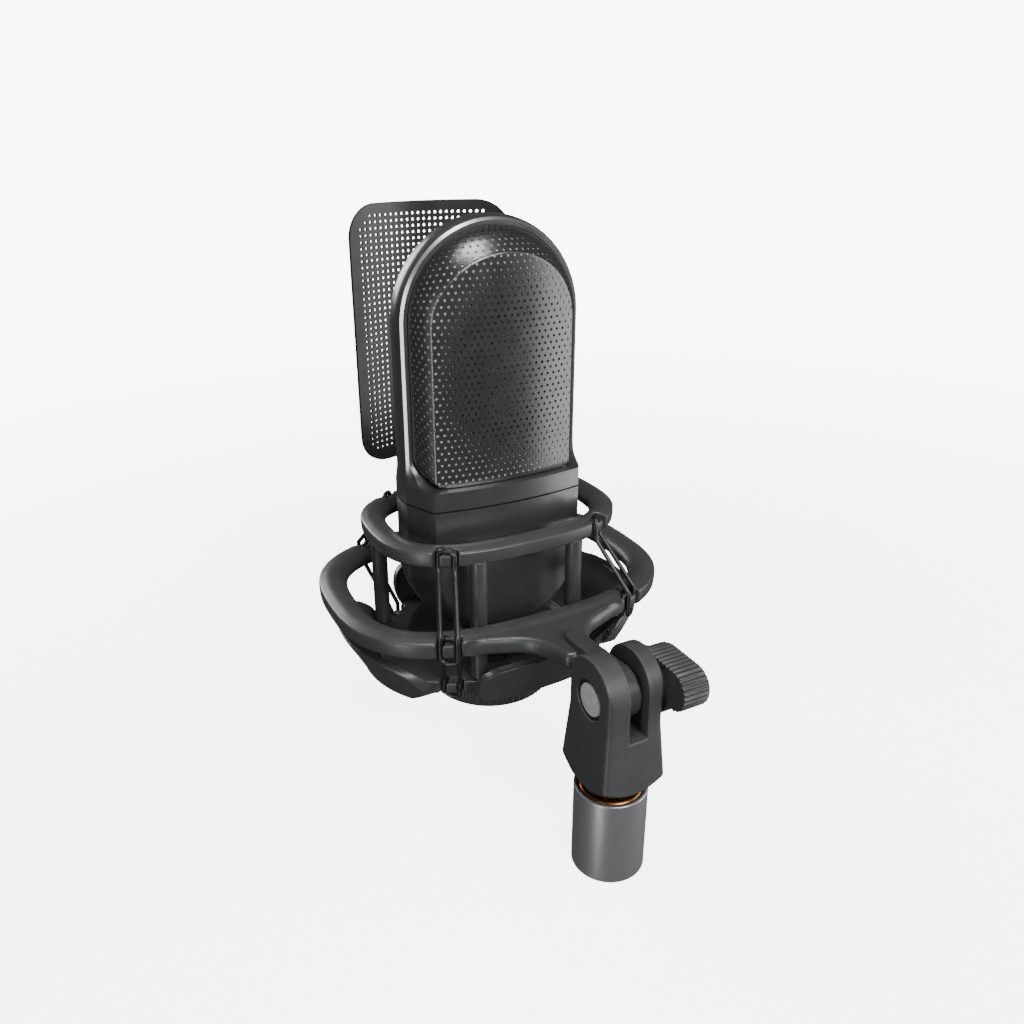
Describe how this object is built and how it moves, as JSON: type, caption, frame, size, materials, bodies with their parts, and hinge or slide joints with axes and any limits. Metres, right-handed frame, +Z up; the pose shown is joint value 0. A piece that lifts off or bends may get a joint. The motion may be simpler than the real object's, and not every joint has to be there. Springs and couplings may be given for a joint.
{
  "type": "condenser microphone",
  "caption": "Side-address condenser microphone with perforated grilles, hung in an elastic shock mount with a bowed pop filter, on a tilting clevis at a stand tube's end.",
  "frame": {"origin": "centre of the stand tube's cut lower end, where the rest of the stand holds the part up", "axes": "+Z up along the stand tube; the microphone hangs on the -Y side and its front grille faces -Y; +X is the side of the clevis pin's head, -X the side of the tilt knob"},
  "size_m": [0.1132, 0.1433, 0.1782],
  "materials": {
    "gunmetal_satin": "satin gunmetal paint on die-cast metal",
    "grille_steel": "satin dark paint on perforated steel",
    "liner_mesh": "fine woven wire mesh, mid grey",
    "mount_plastic": "moulded charcoal plastic, satin to matte",
    "clevis_nylon": "moulded glass-filled nylon, fine matte",
    "elastic_cord": "round black elastic",
    "brushed_steel": "turned steel",
    "tube_grey": "grey lacquered steel tube, satin",
    "thread_bronze": "copper-coloured plated thread adapter",
    "capsule_brass": "machined brass",
    "diaphragm_gold": "gold-sputtered film",
    "soft_black": "moulded black elastomer",
    "board_black": "solder-resist on a circuit board",
    "connector_steel": "plated steel shell"
  },
  "bodies": {
    "stand": {"stand_tube": "tube_grey", "thread_insert": "thread_bronze"},
    "clevis": {"clevis": "clevis_nylon", "clevis_pin": "brushed_steel", "knob_washer": "brushed_steel"},
    "tilt_knob": {"tilt_knob": "clevis_nylon"},
    "mount_frame": {"outer_ring": "mount_plastic"},
    "cage": {"inner_ring": "mount_plastic", "post_back_left": "mount_plastic", "post_back_right": "mount_plastic", "post_front_left": "mount_plastic", "post_front_right": "mount_plastic", "cradle_hub": "mount_plastic", "upper_cord_a": "elastic_cord", "upper_cord_b": "elastic_cord", "upper_cord_c": "elastic_cord", "upper_cord_d": "elastic_cord", "lower_cord_a": "elastic_cord", "lower_cord_b": "elastic_cord", "lower_cord_c": "elastic_cord", "lower_cord_d": "elastic_cord", "body_shell": "gunmetal_satin", "head_frame": "gunmetal_satin", "rear_grille": "grille_steel", "rear_liner": "liner_mesh", "front_grille": "grille_steel", "front_liner": "liner_mesh", "capsule_ring": "capsule_brass", "front_diaphragm": "diaphragm_gold", "rear_diaphragm": "diaphragm_gold", "capsule_backplate": "capsule_brass", "capsule_saddle": "soft_black", "saddle_foot": "soft_black", "main_board": "board_black", "gain_pot": "connector_steel", "phones_jack": "connector_steel", "usb_plate": "soft_black", "usb_socket": "connector_steel", "pop_filter_bracket": "mount_plastic", "pop_filter_screw": "brushed_steel"},
    "lock_ring": {"lock_ring": "mount_plastic"},
    "gain_knob": {"gain_knob": "gunmetal_satin", "gain_shaft": "brushed_steel"},
    "pop_filter": {"pop_filter_screen": "grille_steel", "pop_filter_stalk": "mount_plastic"}
  },
  "joints": [
    {"name": "clevis_swivel", "type": "hinge", "parent": "stand", "child": "clevis", "pos_m": [0, 0, 0.031], "axis": [0, 0, 1], "range_deg": [-180, 180]},
    {"name": "frame_tilt", "type": "hinge", "parent": "clevis", "child": "mount_frame", "pos_m": [-0.00095, 0, 0.058], "axis": [1, 0, 0], "range_deg": [-70, 22]},
    {"name": "tilt_knob_turn", "type": "hinge", "parent": "clevis", "child": "tilt_knob", "pos_m": [-0.011, 0, 0.058], "axis": [1, 0, 0], "range_deg": [-180, 180]},
    {"name": "cage_bounce", "type": "slide", "parent": "mount_frame", "child": "cage", "axis": [0, 0, 1], "range_m": [-0.003, 0.003], "stiffness_N_per_m": 2000, "springref_m": 0.0014, "deforming": ["upper_cord_a", "upper_cord_b", "upper_cord_c", "upper_cord_d", "lower_cord_a", "lower_cord_b", "lower_cord_c", "lower_cord_d"]},
    {"name": "lock_ring_turn", "type": "hinge", "parent": "cage", "child": "lock_ring", "pos_m": [0, -0.0782, 0.0265], "axis": [0, 0, 1], "range_deg": [-180, 180]},
    {"name": "gain_knob_turn", "type": "hinge", "parent": "cage", "child": "gain_knob", "pos_m": [0, -0.0968, 0.07], "axis": [0, 1, 0], "range_deg": [-150, 150]},
    {"name": "pop_filter_tilt", "type": "hinge", "parent": "cage", "child": "pop_filter", "pos_m": [0, -0.1167, 0.0805], "axis": [1, 0, 0], "range_deg": [-12, 60]}
  ]
}
